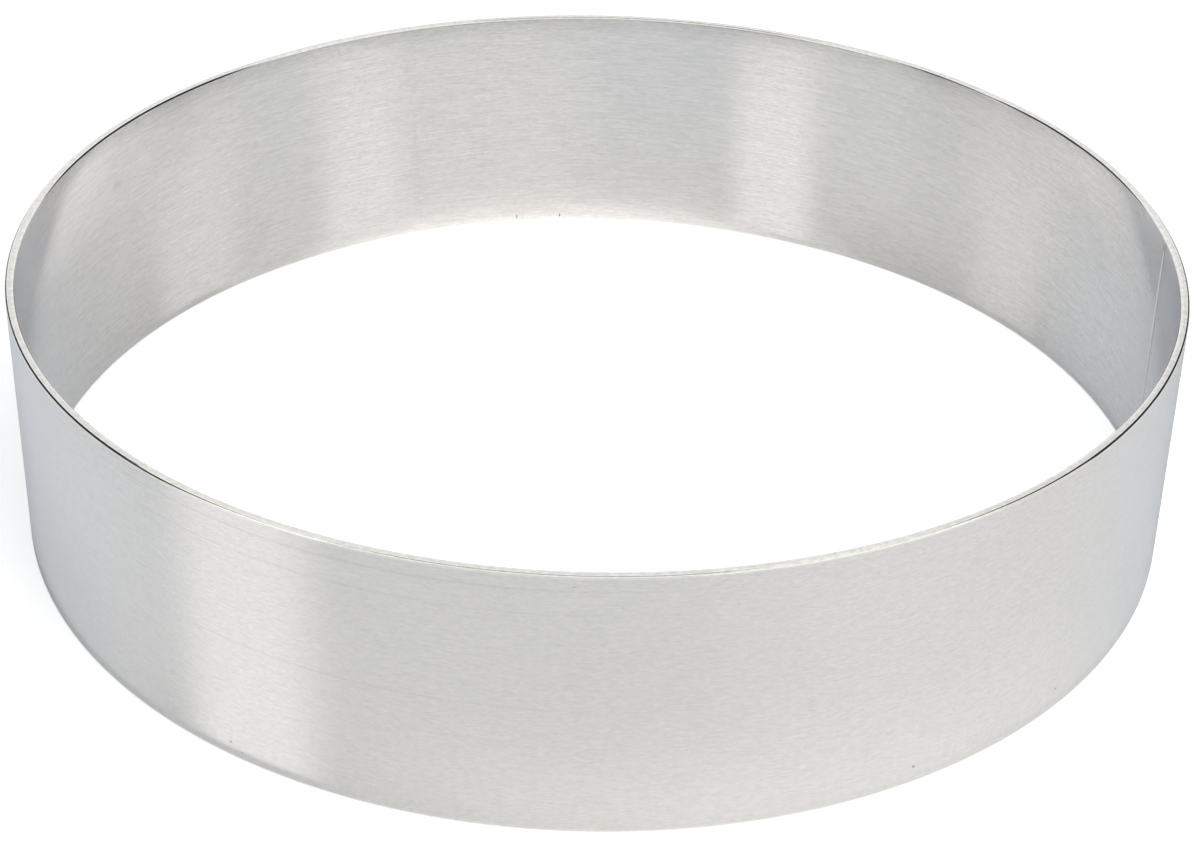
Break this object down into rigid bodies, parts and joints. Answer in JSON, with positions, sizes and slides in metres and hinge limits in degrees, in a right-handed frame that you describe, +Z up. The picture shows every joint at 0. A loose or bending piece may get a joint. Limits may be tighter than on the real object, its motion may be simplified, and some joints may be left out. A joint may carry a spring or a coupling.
{
  "type": "pastry ring",
  "caption": "Round open ring of brushed stainless steel for baking and shaping pastry, with a straight wall, rounded outer rims and a faint weld line inside.",
  "frame": {"origin": "centre of the bottom rim's plane, on the ring's axis", "axes": "+Z up along the ring's axis; the weld seam lies 3 degrees from +X towards +Y"},
  "size_m": [0.26, 0.26, 0.06],
  "materials": {
    "steel": "brushed round the ring, with a fine satin grain"
  },
  "bodies": {
    "root": {"ring": "steel"}
  },
  "joints": []
}
